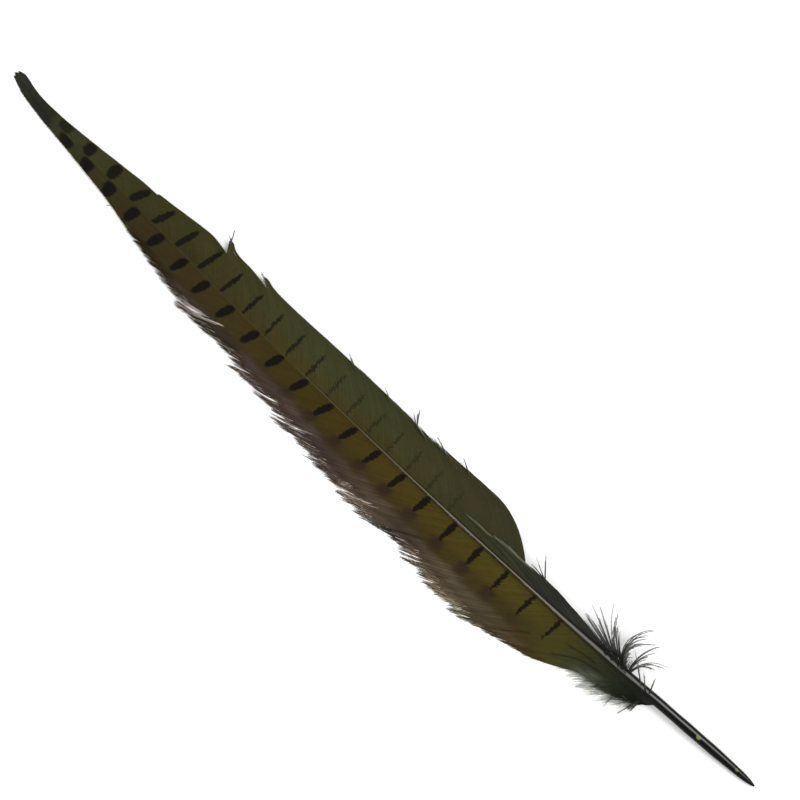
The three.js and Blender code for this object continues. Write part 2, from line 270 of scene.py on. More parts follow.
def withCurves(vane):
    # Towards each notch the edge falls by depth * (1 - distance / length)^1.5, and past it, it comes back out
    # within 1 mm.
    curves = {name + "At": smooth(vane[name]) for name in ("edge", "sweep", "lift", "fringe") if name in vane}
    plainEdge = curves["edgeAt"]

    def edgeAt(s):
        y = plainEdge(s)
        for at, depth, length in vane.get("notches", []):
            share = np.where(s < at, np.clip(1 - (at - s) / length, 0, 1) ** 1.5, np.clip(1 - s + at, 0, 1))
            y = y - vane["side"] * depth * share
        return y

    return {**vane, **curves, "edgeAt": edgeAt}


narrowVane, broadVane, pressedStrip = (withCurves(vane) for vane in (narrowVane, broadVane, pressedStrip))


def barbPlace(vane, tipS, t):
    # A barb's place in plan at share t of its length: s runs evenly from its root to its tip, and y runs to
    # the vane's edge as 1 - (1 - t)^bend, so the barb turns forward. Past straightFrom it runs on straight.
    rootS = tipS + vane["sweepAt"](tipS)
    rootY = bowAt(rootS)
    s = rootS - vane["sweepAt"](tipS) * t
    bend, knee = vane["bend"], vane["straightFrom"]
    turning = 1 - (1 - np.minimum(t, knee)) ** bend
    slope = bend * (1 - knee) ** (bend - 1)
    full = 1 - (1 - knee) ** bend + (1 - knee) * slope
    out = turning + np.maximum(t - knee, 0) * slope
    return s, rootY + (vane["edgeAt"](tipS) - rootY) * out / full


def vaneHeight(vane, s, y, t):
    # The vane arches from the shaft's height down to its edge, by a power of the share of the way out.
    halfWidth = np.maximum(np.abs(vane["edgeAt"](s) - bowAt(s)), 1)
    out = np.abs(y - bowAt(s))
    share = np.minimum(out / halfWidth / (1 - vane["flatShare"]), 1)
    edgeHeight = skin + vane["liftAt"](s)
    height = edgeHeight + (np.maximum(riseAt(s), edgeHeight) - edgeHeight) * (1 - share ** vane["crown"])
    nearShaft = np.clip(1 - out / (2.2 * radiusAt(s)), 0, 1)
    height = height + blade["rootRaise"] * radiusAt(s) * ease(nearShaft * 1.5)
    side = vane["side"]
    wave = np.sin(2 * math.pi * s / blade["rippleLength"] + side) + 0.6 * np.sin(s / 2.1 + 4 * side + out / 4)
    return height + blade["ripple"] * wave * ease(out / 5) * np.clip((height - skin) / 1.5, 0, 1)


def stripHeight(strip, s, y, t):
    # The strip lies along the shaft's height, rising a little to its tips and sagging off to the side.
    over = np.clip(1 - np.abs(y - bowAt(s)) / (1.3 * radiusAt(s)), 0, 1)
    lying = riseAt(s) + strip["above"] * t - strip["sag"] * (y - bowAt(s)) ** 2
    return lying + 0.8 * radiusAt(s) * ease(over)


def clumpsOf(count, sizes, rng):
    # Neighbouring barbs in clumps of irregular size: each barb's clump, the clump's middle barb and the
    # barb's offset from it, from -1 to 1.
    ends = np.cumsum(rng.integers(*sizes, count))
    ends = ends[ends < count]
    clump = np.searchsorted(ends, np.arange(count), side="right")
    start, stop = np.append(0, ends)[clump], np.append(ends, count)[clump]
    middle = (start + stop - 1) / 2
    return clump, middle.astype(int), (np.arange(count) - middle) / np.maximum((stop - start) / 2, 1)


# The dip on the tip side of a tooth: its share of how far the tooth stands out, its distance and its width.
dip = {"share": 0.45, "away": 1.4, "width": 1.3}


def toothReach(vane, tipS):
    # Extra length in mm: full at each tooth's point and fading over its length, towards the quill. On the tip
    # side it dips by a bell curve.
    extra = np.zeros_like(tipS)
    for at, outward, length in vane["teeth"]:
        past = tipS - at
        extra += outward * np.where(past > 0, np.clip(1 - past / length, 0, 1), 0)
        extra -= dip["share"] * outward * np.exp(-((past + dip["away"]) / dip["width"]) ** 2)
    return extra


def slitShift(vane, tipS, t):
    # Sideways shift in mm that opens each slit: out on its quill side and in on its tip side, growing from
    # where it starts to the tips, and fading with the distance from it.
    shift = np.zeros_like(t)
    for at, depth, outward, inward, fade in vane["slits"]:
        beyond = ease((t - (1 - depth)) / depth)
        lean = np.where(tipS > at, outward, -inward)
        shift += lean * beyond * np.exp(-np.abs(tipS - at) / fade)
    return shift


# How irregular the barbs are: the length of single barbs where loose and everywhere, where a clump comes
# free, how far clumps and single barbs stray, how much they wave, and how far they lift, where free.
scatter = {
    "looseLength": 0.022, "length": 0.004, "freeFrom": 0.04,
    "clumpStray": 0.4, "barbStray": 0.2, "wave": 0.12,
    "clumpLift": 0.2, "barbLift": 0.25,
}


def vaneBarbs(vane, heightOf):
    # Overlapping barbs from the shaft to the edge. Each follows barbPlace and lies on the vane's height. Near
    # the edge its free end thins to a hair, leans towards the middle barb of its clump and strays with it.
    rng = np.random.default_rng(vane["seed"])
    count, side = vane["count"], vane["side"]
    fine = np.linspace(vane["firstTip"], vane["lastTip"], 3000)
    halfway = fine + vane["sweepAt"](fine) / 2
    halfway = halfway + np.cumsum(np.maximum(np.diff(vane["edgeAt"](fine), prepend=0) * side - 0.02, 0))
    tipS = np.interp(np.linspace(halfway[0], halfway[-1], count), halfway, fine)[:, None]
    clump, middle, offset = clumpsOf(count, vane["clump"], rng)
    loose = vane["fringeAt"](tipS)
    clumpDraw = rng.normal(size=(clump.max() + 1, 3))[clump]
    draw = rng.normal(size=(count, 4))
    length = np.hypot(vane["sweepAt"](tipS), vane["edgeAt"](tipS) - bowAt(tipS))
    uneven = 0.2 - 0.5 * np.abs(offset[:, None]) ** 1.5 + 0.3 * clumpDraw[:, :1]
    reach = 1 + loose * (vane["ragged"] * uneven + scatter["looseLength"] * draw[:, :1])
    reach = reach + scatter["length"] * draw[:, :1]
    reach = reach + toothReach(vane, tipS) / (length + 2)
    even = np.linspace(0, 1, vane["steps"] + 1)[None, :]
    t = even * reach
    s, y = barbPlace(vane, tipS, t)
    dsBarb, dyBarb = np.gradient(s, axis=1), np.gradient(y, axis=1)
    stride = np.hypot(dsBarb, dyBarb)
    dsBarb, dyBarb = dsBarb / stride, dyBarb / stride
    plainS, plainY = barbPlace(vane, tipS, np.minimum(even, vane["straightFrom"]))
    gap = np.abs(np.gradient(plainS, axis=0) * dyBarb - np.gradient(plainY, axis=0) * dsBarb)
    freeFrom = vane["freeFrom"] + scatter["freeFrom"] * clumpDraw[:, 1:2]
    free = loose * ease((t - freeFrom) / (1 - freeFrom))
    height = heightOf(vane, s, y, t)
    surface = stacked(s, y, height)
    up = unit(np.cross(np.gradient(surface, axis=0), np.gradient(surface, axis=1)))
    up = up * np.sign(up[..., 2:])
    pull = vane["pull"] * free
    newS = s + pull * (s[middle] - s)
    newY = y + pull * (y[middle] - y)
    shift = slitShift(vane, tipS, t)
    straying = scatter["clumpStray"] * clumpDraw[:, 2:3] + scatter["barbStray"] * draw[:, 1:2]
    shift = shift + vane["stray"] * free * straying
    shift = shift + scatter["wave"] * free * np.sin(5 * t + 3 * draw[:, 2:3]) * vane["stray"]
    newS = newS + side * dyBarb * shift
    newY = newY - side * dsBarb * shift
    lift = scatter["clumpLift"] * np.abs(clumpDraw[:, :1]) + scatter["barbLift"] * np.abs(draw[:, 3:4])
    lifted = height + free * lift
    newGap = np.abs(np.gradient(newS, axis=0) * dyBarb - np.gradient(newY, axis=0) * dsBarb)
    gap = gap + vane["web"] * np.clip(newGap - gap, 0, 3 * gap)
    cover = np.maximum(blade["overlap"] * gap, blade["leastWidth"] * (1 - 0.5 * even)) / 2
    thin = ease(np.clip(free * 1.2, 0, 1))
    halfWidth = cover * (1 - thin) + vane["hair"] / 2 * thin
    halfWidth[:, -1] *= 0.3
    halfHeight = np.minimum(1, 0.35 + halfWidth / 0.3) * (1 - 0.45 * thin)
    lifted = np.maximum(lifted, 0.02 + blade["keel"])
    section = [(1, -blade["tilt"]), (0, blade["ridge"]), (-1, blade["tilt"]), (0, -blade["keel"])]
    plan = stacked(s, np.abs(y - bowAt(s)), tipS + vane["sweepAt"](tipS))
    strand = stacked(rng.random((count, 1)), t, free)
    return strandMesh(vane["name"], stacked(newS, newY, lifted), halfWidth, halfHeight,
                      section, up, plan, strand, bladeShade)


tipFan = {
    "name": "tip_barbs", "count": 30, "steps": 9, "seed": 3,
    "from": 10,                         # the s where they start
    "ends": (-1.1, 1.3),                # the y of the first end and the last
    "width": 0.34,
    "section": [(1, 0), (0, 0.1), (-1, 0), (0, -0.12)],
}


def tipBarbs():
    # Barbs that run straight on past the end of the shaft, between the first barbs of the two vanes. Their
    # ends lie on a rounded line, at s = 0.15 + 0.8 |u|^1.7 for u across the tip.
    rng = np.random.default_rng(tipFan["seed"])
    count = tipFan["count"]
    end = np.linspace(*tipFan["ends"], count)[:, None]
    share = np.linspace(0, 1, tipFan["steps"] + 1)[None, :]
    endS = 0.15 + 0.8 * np.abs(end) ** 1.7 + 0.4 * rng.random((count, 1))
    s = tipFan["from"] + (endS - tipFan["from"]) * share
    startY = bowAt(tipFan["from"]) + 0.7 * end
    y = startY + (end - startY) * share ** 0.9
    height = riseAt(s) * (1 - 0.3 * np.abs(end)) + 0.1
    halfWidth = tipFan["width"] / 2 * (1 - 0.5 * share ** 3) * np.ones_like(s)
    halfWidth[:, -1] *= 0.4
    plan = stacked(s, np.abs(y - bowAt(s)), s + 3 * end)
    strand = stacked(rng.random((count, 1)), share, 0)
    return strandMesh(tipFan["name"], stacked(s, y, height), halfWidth, np.full_like(s, 0.8),
                      tipFan["section"], straightUp, plan, strand, bladeShade)


# Hairs over the broad vane's fringe, in patches: the s of the barbs' tips from and to, the share of the barb
# where a hair starts from and to, the share where it ends from and to, their number and how far they stray.
wisps = {
    "name": "fringe_wisps", "steps": 10, "seed": 31, "width": 0.14,
    "patches": [(74, 96, 0.66, 0.82, 0.95, 1.045, 40, 0.4), (96, 284, 0.66, 0.82, 0.95, 1.045, 640, 0.4),
                (284, 300, 0.66, 0.82, 0.95, 1.045, 24, 0.4), (318, 346, 0.66, 0.82, 0.95, 1.045, 60, 0.4)],
}
# Pale hairs where the broad vane's fringe catches the light; their silver is partly a painted highlight.
silverHairs = {
    "name": "silver_hairs", "steps": 10, "seed": 77, "width": 0.27,
    "patches": [(104.5, 109.5, 0.66, 0.82, 0.92, 1.02, 36, 0.9),
                (107.5, 109.5, 0.48, 0.64, 0.9, 1, 6, 0.15), (112, 282, 0.74, 0.87, 0.9, 0.99, 110, 0.3),
                (141, 146, 0.82, 0.9, 0.98, 1.03, 9, 0.4), (153.5, 156, 0.68, 0.8, 0.9, 1, 3, 0.2),
                (167, 169.5, 0.58, 0.76, 0.92, 1.02, 5, 0.2), (168, 172, 0.76, 0.88, 0.95, 1.03, 10, 0.5),
                (176, 190, 0.82, 0.92, 0.98, 1.03, 22, 0.4), (194, 199, 0.7, 0.8, 0.86, 0.95, 16, 0.4),
                (203, 207, 0.66, 0.8, 0.95, 1.03, 20, 0.5), (198, 214, 0.86, 0.92, 1, 1.04, 24, 0.4),
                (236, 240, 0.8, 0.88, 0.97, 1.03, 12, 0.4), (250, 273, 0.82, 0.9, 0.98, 1.04, 64, 0.5)],
}


def fringeHairs(hairs):
    # Each hair follows barbPlace from a point inside the vane to one near the edge, with a sideways shift
    # that grows with the square of the way along it.
    vane = broadVane
    rng = np.random.default_rng(hairs["seed"])
    table = np.array(hairs["patches"], dtype=float)
    rows = np.repeat(table, table[:, 6].astype(int), axis=0)
    count = len(rows)
    low, high = rows[:, [0, 2, 4]], rows[:, [1, 3, 5]]
    tipS, first, last = ((low + (high - low) * rng.random((count, 3))).T)[..., None]
    even = np.linspace(0, 1, hairs["steps"] + 1)[None, :]
    length = np.hypot(vane["sweepAt"](tipS), vane["edgeAt"](tipS) - bowAt(tipS))
    last = last + toothReach(vane, tipS) / length
    t = first + (last - first) * even
    s, y = barbPlace(vane, tipS, t)
    ds, dy = np.gradient(s, axis=1), np.gradient(y, axis=1)
    stride = np.hypot(ds, dy)
    draw = rng.normal(size=(count, 3))
    wave = 0.08 * np.sin(5 * even + 3 * draw[:, 1:2])
    shift = slitShift(vane, tipS, t) + even ** 2 * draw[:, :1] * rows[:, 7:] + wave
    newS = s + vane["side"] * dy / stride * shift
    newY = y - vane["side"] * ds / stride * shift
    height = vaneHeight(vane, s, y, t) + 0.12 + even * (0.15 + 0.3 * np.abs(draw[:, 2:3]))
    halfWidth = hairs["width"] / 2 * (0.55 + 0.45 * (1 - even)) * np.ones_like(s)
    halfWidth[:, [0, -1]] *= 0.3
    plan = stacked(s, np.abs(y - bowAt(s)), tipS + vane["sweepAt"](tipS))
    strand = stacked(rng.random((count, 1)), t, 0.5 + 0.5 * even)
    path = stacked(newS, newY, np.maximum(height, 0.15))
    return hairMesh(hairs["name"], path, halfWidth, plan, strand, peak=0.7)


def makeShaft():
    # A tube: rings along the feather, each a circle about the shaft's middle, flattened a little on top and
    # pinched by a narrow groove underneath. Ring spacing shrinks towards the quill's blunt end.
    rings, sides = shaft["rings"], shaft["sides"]
    s = (shaft["length"] * np.sin(np.linspace(0, math.pi / 2, rings)))[:, None]
    angle = np.linspace(0, 2 * math.pi, sides, endpoint=False)[None, :]
    radius = radiusAt(s) * (1 + 0.02 * np.sin(s / 2.3) * ease((s - 330) / 10))
    grooved = ease((s - shaft["grooveFrom"]) / 8) * ease((shaft["grooveTo"] - s) / 8)
    underneath = np.exp(-((angle - 1.5 * math.pi) / shaft["grooveWidth"]) ** 2)
    radius = radius * (1 - shaft["grooveDepth"] * grooved * underneath)
    up = np.sin(angle) * radius
    flattened = np.where(up > 0, up * (1 - shaft["flatTop"] * ease((340 - s) / 60)), up)
    height = np.maximum(riseAt(s) + flattened, 0.05)
    spots = placed(s, bowAt(s) + np.cos(angle) * radius, height)
    mesh = bpy.data.meshes.new("quill_and_rachis")
    ring = np.arange(sides)
    j = np.arange(rings - 1)[:, None]
    following = (ring + 1) % sides
    here, beyond = j * sides, (j + 1) * sides
    quads = stacked(here + ring, here + following, beyond + following, beyond + ring).reshape(-1, 4)
    faces = quads.tolist() + [ring[::-1].tolist(), ((rings - 1) * sides + ring).tolist()]
    mesh.from_pydata(spots.reshape(-1, 3).tolist(), [], faces)
    mesh.shade_smooth()
    attach(mesh, "plan", stacked(s, angle, 0).reshape(-1, 3))
    return finished("quill_and_rachis", mesh)


# Loose barbs: root s and y, reach, heading in degrees from straight out towards the tip, curl, the height of
# the free end and the width of the bundle.
looseNarrow = [
    (107.4, 8.4, 7.6, 14, 16, 4.5, 0.6), (107.8, 9.6, 4.2, 50, 0, 4, 0.5),
    (129.6, 7.8, 7.3, 54, 26, 3, 0.6), (176.5, 8.4, 7.5, 64, 4, 3.4, 0.5), (195, 8.8, 6.5, 62, 4, 3.2, 0.5),
    (209.5, 8.4, 8.2, 42, -10, 3, 0.6), (209, 8.9, 6.5, 58, -4, 3, 0.4), (215.5, 7.8, 8, 72, 4, 2.8, 0.6),
    (225.5, 9, 9, 68, 4, 2.6, 0.8), (223.5, 9.2, 6.8, 76, 4, 2.6, 0.5), (236.5, 9.6, 7.5, 58, 4, 2.4, 0.5),
    (285.5, 1, 11.2, 43, -2, 5, 0.35), (284.5, 1.4, 8.7, 66, -6, 4.5, 0.35),
    (284, 1.4, 6.5, 82, 4, 3.8, 0.3), (321.9, -1.9, 20.3, 80, 6, 5, 0.7),
    (322.7, -1.4, 17.5, 78, -2, 5.2, 0.7), (323, -1, 17, 75, 2, 5.3, 0.4),
    (323.5, -0.8, 19.8, 67, 0, 5.6, 0.9), (324.2, -0.6, 19, 62, -2, 6, 0.5),
    (326, -0.9, 21.5, 64, -34, 6.5, 1.3), (328, -0.8, 12.8, 55, -12, 6, 1.2),
    (324.5, -1, 15.5, 62, -50, 6, 0.4), (330.5, -1.6, 20.5, 58, -104, 7, 1.1),
    (330.3, -1.6, 10.5, 56, -62, 6.6, 1.2), (331, -1.8, 11.5, 56, -60, 6.5, 1.2),
    (330, -1.4, 16.5, 66, -104, 6.5, 0.5), (330.5, -1.4, 17.5, 60, -108, 6.8, 0.7),
    (330, -1.4, 10, 54, -40, 6.2, 1.2), (327.8, 0, 4.2, -34, -14, 6, 0.4),
    (328, 7.2, 8.2, -40, -6, 6.8, 0.35), (333.2, -2, 16.5, 18, -52, 6.3, 0.9),
    (333.6, -2, 16.4, 2, -82, 5.6, 0.9), (342.5, -3.9, 16.2, 55, -2, 6.9, 0.5),
    (343.3, -3.1, 7.7, 49, 0, 6.9, 0.6), (344.9, -2.3, 6.4, 25, -4, 6.7, 0.7),
]
looseBroad = [
    (336.2, -11, 7.8, 2, -6, 0.6, 0.35), (344.3, -7.5, 9.6, 14, -2, 0.8, 0.9),
    (344.6, -7.5, 5.4, -4, 0, 0.8, 0.8), (343.8, -8, 5, -2, 0, 0.8, 0.7),
    (345.7, -8, 9.4, 52, 34, 0.8, 0.6), (327.4, -13.6, 5.2, 50, -10, 0.5, 0.3),
    (330.9, -13.2, 5, 50, -6, 0.5, 0.3), (229.7, -27.2, 14.7, 78, 0, 0.7, 0.6),
    (232, -27.6, 12, 74, 4, 0.7, 0.5), (63.8, -10.8, 3.6, 52, 0, 0.4, 0.02),
]
bundle = {
    "hairs": 6, "steps": 14, "seed": 41, "width": 0.42, "climb": 1.5,
    "spread": 0.26, "heading": 1, "curl": 2.5,      # how the hairs of a bundle differ
    "lowest": 0.3,
}
# A side hair's length, its half width at either end and how far it points out from its barb.
sideHair = {"length": 0.5, "halfWidths": [[0.05, 0.02]], "outward": 0.8, "lift": 0.3, "lowest": 0.15}


def curledPath(root, side, reach, heading, curl, rootHeight, tipHeight, steps, climb):
    # A path whose direction turns evenly: heading + curl * share, in degrees from straight out towards the
    # tip. Its height goes from the root's to the tip's as share^climb. All arguments are (strand, 1) arrays.
    share = np.linspace(0, 1, steps + 1)[None, :]
    angle = np.radians(heading + curl * (share[:, 1:] + share[:, :-1]) / 2)
    stride = reach / steps
    s = root[:, :1] - np.pad(np.cumsum(np.sin(angle) * stride, axis=1), ((0, 0), (1, 0)))
    y = root[:, 1:2] + side * np.pad(np.cumsum(np.cos(angle) * stride, axis=1), ((0, 0), (1, 0)))
    return stacked(s, y, rootHeight + (tipHeight - rootHeight) * share ** climb)


def carriedHeight(s, y, side):
    # The height of the surface a loose barb grows from: the shaft, the broad vane, the narrow vane or,
    # past the narrow vane's end, the pressed strip.
    onShaft = np.abs(y - bowAt(s)) < radiusAt(s)
    broad = vaneHeight(broadVane, s, y, 0)
    narrow = vaneHeight(narrowVane, s, y, 0)
    strip = riseAt(s) + 0.28 - pressedStrip["sag"] * (y - bowAt(s)) ** 2
    shaftTop = riseAt(s) + np.sqrt(np.maximum(radiusAt(s) ** 2 - (y - bowAt(s)) ** 2, 0)) + 0.2
    return np.where(onShaft, shaftTop, np.where(side < 0, broad, np.where(s < 280, narrow, strip)))


def looseBundles():
    # Each loose barb is a bundle of hairs about one curledPath. The first hair runs all the way along it, and
    # the others leave it at random headings and are shorter.
    rng = np.random.default_rng(bundle["seed"])
    rows = np.array(looseNarrow + looseBroad, dtype=float)
    side = np.repeat([1.0, -1.0], [len(looseNarrow), len(looseBroad)])[:, None]
    hairs = bundle["hairs"]
    rows, side = np.repeat(rows, hairs, axis=0), np.repeat(side, hairs, axis=0)
    draw = rng.normal(size=(len(rows), 6))
    draw[::hairs] = 0
    shorter = np.where(np.arange(len(rows)) % hairs, rng.uniform(0.5, 1, len(rows)), 1)[:, None]
    root = rows[:, :2] + draw[:, :2] * rows[:, 6:7] * bundle["spread"]
    heading = rows[:, 3:4] + draw[:, 2:3] * bundle["heading"] * (0.5 + rows[:, 6:7])
    curl = rows[:, 4:5] + draw[:, 3:4] * bundle["curl"]
    rootHeight = carriedHeight(rows[:, :1], rows[:, 1:2], side)
    tipHeight = np.maximum(rows[:, 5:6] + 0.5 * draw[:, 4:5], bundle["lowest"])
    path = curledPath(root, side, rows[:, 2:3] * shorter, heading, curl, rootHeight, tipHeight,
                      bundle["steps"], bundle["climb"])
    path[..., 2] = np.maximum(path[..., 2], bundle["lowest"])
    share = np.linspace(0, 1, bundle["steps"] + 1)[None, :]
    halfWidth = bundle["width"] / 2 * (1 - 0.42 * share) * (0.8 + 0.4 * rng.random((len(rows), 1)))
    halfWidth = halfWidth * np.minimum(1, 0.3 + 0.8 * rows[:, 6:7])
    strand = stacked(rng.random((len(rows), 1)), share, 0)
    hairsPiece = hairMesh("loose_barbs", path, halfWidth, stacked(path[..., 0], side, 0), strand)
    sideReach = sideHair["length"] * np.minimum(1, rows[:, 6:7])
    return hairsPiece, barbules("loose_barbules", path, rng, sideReach)


def barbules(name, path, rng, reach):
    # Fine side hairs along the paths: from each inner point, one to either side, slanting forward.
    inner = path[:, 1:-1].reshape(-1, 3)
    reach = np.repeat(reach, path.shape[1] - 2, axis=0)
    along = unit(np.gradient(path, axis=1)[:, 1:-1].reshape(-1, 3))
    aside = np.cross(along, straightUp)
    sides = []
    for sign in (-1, 1):
        slant = rng.uniform(0.5, 1, (len(inner), 1))
        lift = rng.normal(size=(len(inner), 1)) * sideHair["lift"]
        direction = along * slant + aside * sign * sideHair["outward"] + straightUp * lift
        end = inner + direction * reach * rng.uniform(0.5, 1, (len(inner), 1))
        end[:, 2] = np.maximum(end[:, 2], sideHair["lowest"])
        sides.append(np.stack((inner, end), 1))
    hairs = np.concatenate(sides)
    strand = stacked(rng.random((len(hairs), 1)), [[0.0, 1.0]], 0)
    halfWidth = np.broadcast_to(sideHair["halfWidths"], hairs.shape[:2])
    return hairMesh(name, hairs, halfWidth, stacked(hairs[..., 0], 0, 0), strand, bands=40)


# Tufts of finer barbs: count, side, the root's s from and to, its y from and to, reach, heading, curl, height
# of the free end, and 1 where they are pale.
tufts = {
    "strip_brush": (90, 1, (321, 333), (-3.6, -1.8), (2.5, 9), (52, 82), (-10, 14), (4, 5.4), 0),
    "base_brush": (90, 1, (325, 334), (-2.6, -1.6), (2.5, 5), (0, 66), (-40, 20), (4.4, 6.5), 0),
    "broad_base_down": (110, -1, (328, 346), (-13, -4), (2.5, 5.5), (20, 60), (-16, 14), (0.4, 1.2), 0),
    "pale_down": (500, -1, (322, 347), (-16, -8), (3, 12.5), (30, 60), (-10, 10), (0.1, 0.3), 1),
    "pale_edge_down": (140, -1, (303, 325), (-25, -16), (3, 8.5), (40, 58), (-8, 8), (0.1, 0.25), 1),
}
# paleRoot is the height of the pale hairs' roots, and no hair goes under lowest
tuftHair = {"steps": 10, "climb": 1.3, "width": 0.18, "paleRoot": 0.1, "lowest": 0.08}


def makeTuft(name):
    # Single curled hairs: root and shape drawn evenly from the tuft's ranges. Roots on the broad side follow
    # the vane in towards the quill, and pale hairs come from underneath.
    count, side, *ranges, pale = tufts[name]
    rng = np.random.default_rng(len(name) + count)
    s, y, reach, heading, curl, high = (rng.uniform(*pair, (count, 1)) for pair in ranges)
    if side < 0:
        y = np.maximum(y, bowAt(s) + (broadVane["edgeAt"](s) - bowAt(s)) * 0.92)
    root = np.concatenate((s, y), axis=1)
    rootHeight = np.full_like(s, tuftHair["paleRoot"]) if pale else carriedHeight(s, y, np.array([[side]]))
    path = curledPath(root, side, reach, heading, curl, rootHeight, high,
                      tuftHair["steps"], tuftHair["climb"])
    path[..., 2] = np.maximum(path[..., 2], tuftHair["lowest"])
    share = np.linspace(0, 1, tuftHair["steps"] + 1)[None, :]
    halfWidth = tuftHair["width"] / 2 * (1 - 0.6 * share) * (0.7 + 0.5 * rng.random((count, 1)))
    strand = stacked(rng.random((count, 1)), share, 0)
    return hairMesh(name, path, halfWidth, stacked(path[..., 0], side, pale), strand)


quillPiece = makeShaft()
narrowPiece = vaneBarbs(narrowVane, vaneHeight)
broadPiece = vaneBarbs(broadVane, vaneHeight)
stripPiece = vaneBarbs(pressedStrip, stripHeight)
tipPiece = tipBarbs()
wispPiece = fringeHairs(wisps)
silverPiece = fringeHairs(silverHairs)
loosePiece, barbulePiece = looseBundles()
tuftPieces = [makeTuft(name) for name in tufts]


def linear(colour, light=1.13, gloss=0.006):
    # A colour given as 0-255 display numbers, as the base colour that shows it in this scene's light: the
    # display value without the part that gloss adds, over the light that falls on a piece.
    value = np.array(colour) / 255
    value = np.where(value < 0.04045, value / 12.92, ((value + 0.055) / 1.055) ** 2.4)
    return (*np.clip((value - gloss) / light, 0.0008, 1), 1)


class Graph:
    # Short calls that build a material's nodes. A value is a socket, a number or a colour.
    def __init__(self, name, roughness, specular):
        self.material = bpy.data.materials.new(name)
        self.material.use_nodes = True
        self.tree = self.material.node_tree
        self.shader = self.tree.nodes["Principled BSDF"]
        self.shader.inputs["Roughness"].default_value = roughness
        self.shader.inputs["Specular IOR Level"].default_value = specular

    def put(self, socket, value):
        # a socket is linked, and a colour of three display numbers is turned into a base colour
        if isinstance(value, bpy.types.NodeSocket):
            self.tree.links.new(value, socket)
        else:
            socket.default_value = linear(value) if isinstance(value, tuple) and len(value) == 3 else value

    def parts(self, title):
        # the three numbers of a vector that the mesh holds
        attribute = self.tree.nodes.new("ShaderNodeAttribute")
        attribute.attribute_name = title
        split = self.tree.nodes.new("ShaderNodeSeparateXYZ")
        self.put(split.inputs[0], attribute.outputs["Vector"])
        return split.outputs

    def number(self, title):
        # a single number that the mesh holds
        attribute = self.tree.nodes.new("ShaderNodeAttribute")
        attribute.attribute_name = title
        return attribute.outputs["Fac"]

    def math(self, operation, *values):
        node = self.tree.nodes.new("ShaderNodeMath")
        node.operation = operation
        for socket, value in zip(node.inputs, values):
            self.put(socket, value)
        return node.outputs[0]

    def sum(self, *values):
        total = values[0]
        for value in values[1:]:
            total = self.math("ADD", total, value)
        return total

    def times(self, *values):
        total = values[0]
        for value in values[1:]:
            total = self.math("MULTIPLY", total, value)
        return total

    def minus(self, first, second):
        # first - second
        return self.math("SUBTRACT", first, second)

    def over(self, first, second):
        # first / second
        return self.math("DIVIDE", first, second)

    def rest(self, value):
        # 1 - value
        return self.minus(1, value)

    def apart(self, first, second):
        # the distance between two values
        return self.math("ABSOLUTE", self.minus(first, second))

    def step(self, value, low, high):
        # smoothly from 0 at low to 1 at high
        node = self.tree.nodes.new("ShaderNodeMapRange")
        node.interpolation_type = "SMOOTHSTEP"
        for socket, given in zip(node.inputs, (value, low, high)):
            self.put(socket, given)
        return node.outputs[0]

    def mix(self, share, first, second, blend="MIX"):
        node = self.tree.nodes.new("ShaderNodeMix")
        node.data_type, node.blend_type = "RGBA", blend
        for index, value in zip((0, 6, 7), (share, first, second)):
            self.put(node.inputs[index], value)
        return node.outputs[2]

    def ramp(self, value, colours):
        # display colours along a length, each at its own distance
        return self.stops(value, [(at, linear(colour)) for at, colour in colours])

    def stops(self, value, stops):
        # base colours along a length, from the first stop's distance to the last's
        first, last = stops[0][0], stops[-1][0]
        node = self.tree.nodes.new("ShaderNodeValToRGB")
        self.put(node.inputs[0], self.over(self.minus(value, first), last - first))
        elements = node.color_ramp.elements
        while len(elements) < len(stops):
            elements.new(0.5)
        for element, (at, colour) in zip(elements, stops):
            element.position = (at - first) / (last - first)
            element.color = colour
        return node.outputs[0]

    def along(self, value, points):
        # numbers along a length, straight between the points
        lowest = min(number for at, number in points)
        spread = max(number for at, number in points) - lowest
        grey = [(at, ((number - lowest) / spread,) * 3 + (1,)) for at, number in points]
        return self.math("MULTIPLY_ADD", self.stops(value, grey), spread, lowest)

    def scaled(self, colour, factor):
        node = self.tree.nodes.new("ShaderNodeVectorMath")
        node.operation = "SCALE"
        self.put(node.inputs[0], colour)
        self.put(node.inputs["Scale"], factor)
        return node.outputs[0]

    def between(self, value, low, high, blur):
        # 1 between low and high and 0 outside, blurred at either end
        return self.times(self.step(value, low - blur, low), self.rest(self.step(value, high, high + blur)))

    def noise(self, x, y, z=0.0, detail=2.0):
        # noise between about -1 and 1, at the given coordinates
        spot = self.tree.nodes.new("ShaderNodeCombineXYZ")
        for socket, value in zip(spot.inputs, (x, y, z)):
            self.put(socket, value)
        node = self.tree.nodes.new("ShaderNodeTexNoise")
        self.put(node.inputs["Vector"], spot.outputs[0])
        node.inputs["Scale"].default_value = 1
        node.inputs["Detail"].default_value = detail
        return self.math("MULTIPLY_ADD", node.outputs["Fac"], 4, -2)

    def finish(self, colour, *pieces):
        self.put(self.shader.inputs["Base Color"], colour)
        for piece in pieces:
            piece.data.materials.append(self.material)


